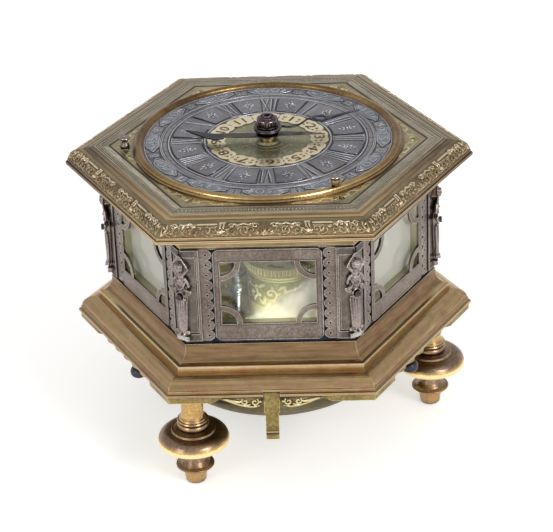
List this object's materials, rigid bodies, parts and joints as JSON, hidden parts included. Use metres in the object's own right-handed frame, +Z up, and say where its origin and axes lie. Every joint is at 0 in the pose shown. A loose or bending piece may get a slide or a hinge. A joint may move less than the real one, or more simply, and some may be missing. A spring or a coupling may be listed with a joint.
{
  "type": "table clock",
  "caption": "Hexagonal table clock lying flat: moulded case with glazed sides and corner figures, horizontal dial with hands on top, bell below, on turned feet.",
  "frame": {"origin": "middle of the base, on the surface that the three feet stand on", "axes": "+Z up through the dial; the front side with the catch lever faces -Y, the hinge side +Y; XII on the dial is towards +Y"},
  "size_m": [0.1704, 0.1476, 0.141],
  "materials": {
    "gilt_brass": "worn fire-gilt brass",
    "dark_gilt_brass": "tarnished turned brass",
    "silver": "tarnished cast silver",
    "dial_silver": "engraved silver",
    "dark_steel": "blued steel",
    "bell_bronze": "tarnished bell metal",
    "glass": "old clear glass"
  },
  "bodies": {
    "base": {"bottom_plate": "gilt_brass", "foot_front": "dark_gilt_brass", "foot_right": "dark_gilt_brass", "foot_back": "dark_gilt_brass", "hinge_pin": "dark_steel"},
    "case": {"base_moulding": "gilt_brass", "case_frame": "dark_gilt_brass", "window_glass": "glass", "window_frame_1": "silver", "window_frame_2": "silver", "window_frame_3": "silver", "window_frame_4": "silver", "window_frame_5": "silver", "window_frame_6": "silver", "corner_mount_1": "silver", "corner_mount_2": "silver", "corner_mount_3": "silver", "corner_mount_4": "silver", "corner_mount_5": "silver", "corner_mount_6": "silver", "herm_1": "silver", "herm_2": "silver", "herm_3": "silver", "herm_4": "silver", "herm_5": "silver", "herm_6": "silver", "mount_screws": "dark_steel", "cap_moulding": "gilt_brass", "dial_panel": "gilt_brass", "bezel_ring": "gilt_brass", "chapter_ring": "dial_silver", "dial_studs": "dark_gilt_brass", "lower_plate": "gilt_brass", "upper_plate": "gilt_brass", "movement_pillars": "gilt_brass", "fusee_chain": "dark_steel", "balance_cock": "gilt_brass", "bell": "bell_bronze", "bell_standard": "dark_steel", "bell_nut": "dark_steel"},
    "turn_knob_left": {"turn_knob_left": "dark_steel"},
    "turn_knob_right": {"turn_knob_right": "dark_steel"},
    "catch": {"catch_lever": "gilt_brass"},
    "minute": {"centre_wheel": "gilt_brass", "cannon_pinion": "dark_steel", "minute_hand": "dark_steel", "hand_knob": "dark_steel"},
    "minute_wheel": {"minute_wheel": "gilt_brass"},
    "hour": {"hour_wheel": "gilt_brass", "hour_hand": "dark_steel"},
    "alarm_disc": {"alarm_disc": "gilt_brass"},
    "fusee": {"fusee": "gilt_brass"},
    "going_barrel": {"going_barrel": "gilt_brass"},
    "contrate": {"contrate_wheel": "gilt_brass"},
    "escape": {"escape_wheel": "gilt_brass"},
    "balance": {"balance_wheel": "gilt_brass"},
    "strike_barrel": {"strike_barrel": "gilt_brass"},
    "strike_pin_wheel": {"strike_pin_wheel": "gilt_brass"},
    "strike_fly": {"strike_fly": "gilt_brass"},
    "bell_hammer": {"bell_hammer": "dark_steel"}
  },
  "joints": [
    {"name": "case_hinge", "type": "hinge", "parent": "base", "child": "case", "pos_m": [0, 0.07201, 0.04905], "axis": [-1, 0, 0], "range_deg": [0, 95]},
    {"name": "turn_knob_left_turn", "type": "hinge", "parent": "base", "child": "turn_knob_left", "pos_m": [-0.05734, -0.03311, 0.0466], "axis": [0, 0, 1], "range_deg": [-90, 90]},
    {"name": "turn_knob_right_turn", "type": "hinge", "parent": "base", "child": "turn_knob_right", "pos_m": [0.05734, -0.03311, 0.0466], "axis": [0, 0, 1], "range_deg": [-90, 90]},
    {"name": "catch_swing", "type": "hinge", "parent": "case", "child": "catch", "pos_m": [0, -0.07081, 0.0501], "axis": [-1, 0, 0], "range_deg": [0, 12], "stiffness_Nm_per_rad": 0.01},
    {"name": "minute_turn", "type": "hinge", "parent": "case", "child": "minute", "pos_m": [0, 0, 0.085], "axis": [0, 0, 1], "continuous": true},
    {"name": "minute_wheel_turn", "type": "hinge", "parent": "case", "child": "minute_wheel", "pos_m": [-0.00411, -0.01128, 0.112], "axis": [0, 0, 1], "continuous": true},
    {"name": "hour_turn", "type": "hinge", "parent": "case", "child": "hour", "pos_m": [0, 0, 0.12], "axis": [0, 0, 1], "continuous": true},
    {"name": "alarm_set", "type": "hinge", "parent": "case", "child": "alarm_disc", "pos_m": [0, 0, 0.129], "axis": [0, 0, 1], "continuous": true},
    {"name": "fusee_turn", "type": "hinge", "parent": "case", "child": "fusee", "pos_m": [-0.02277, 0.00401, 0.085], "axis": [0, 0, 1], "continuous": true},
    {"name": "going_barrel_turn", "type": "hinge", "parent": "case", "child": "going_barrel", "pos_m": [-0.00468, 0.03814, 0.085], "axis": [0, 0, 1], "continuous": true},
    {"name": "contrate_turn", "type": "hinge", "parent": "case", "child": "contrate", "pos_m": [0.01975, 0.00719, 0.085], "axis": [0, 0, 1], "continuous": true},
    {"name": "escape_turn", "type": "hinge", "parent": "case", "child": "escape", "pos_m": [0.01975, 0.00719, 0.081], "axis": [0.5, 0.866, 0], "continuous": true},
    {"name": "balance_swing", "type": "hinge", "parent": "case", "child": "balance", "pos_m": [0.03206, 0.02851, 0.06], "axis": [0, 0, 1], "range_deg": [-50, 50]},
    {"name": "strike_barrel_turn", "type": "hinge", "parent": "case", "child": "strike_barrel", "pos_m": [0.00499, -0.0379, 0.085], "axis": [0, 0, 1], "continuous": true},
    {"name": "strike_pin_wheel_turn", "type": "hinge", "parent": "case", "child": "strike_pin_wheel", "pos_m": [0.02214, -0.03166, 0.085], "axis": [0, 0, 1], "continuous": true},
    {"name": "strike_fly_turn", "type": "hinge", "parent": "case", "child": "strike_fly", "pos_m": [0.02867, -0.02035, 0.085], "axis": [0, 0, 1], "continuous": true},
    {"name": "bell_hammer_swing", "type": "hinge", "parent": "case", "child": "bell_hammer", "pos_m": [0.03986, -0.02031, 0.06], "axis": [0, 0, 1], "range_deg": [-14, 0], "stiffness_Nm_per_rad": 0.002}
  ],
  "couplings": [
    {"joint": "minute_wheel_turn", "follows": "minute_turn", "ratio": -0.33333},
    {"joint": "hour_turn", "follows": "minute_turn", "ratio": 0.083333},
    {"joint": "fusee_turn", "follows": "minute_turn", "ratio": -0.17857},
    {"joint": "going_barrel_turn", "follows": "minute_turn", "ratio": -0.11301},
    {"joint": "contrate_turn", "follows": "minute_turn", "ratio": -6},
    {"joint": "escape_turn", "follows": "minute_turn", "ratio": -31.2},
    {"joint": "strike_pin_wheel_turn", "follows": "strike_barrel_turn", "ratio": -5.3333},
    {"joint": "strike_fly_turn", "follows": "strike_barrel_turn", "ratio": 25.6}
  ]
}
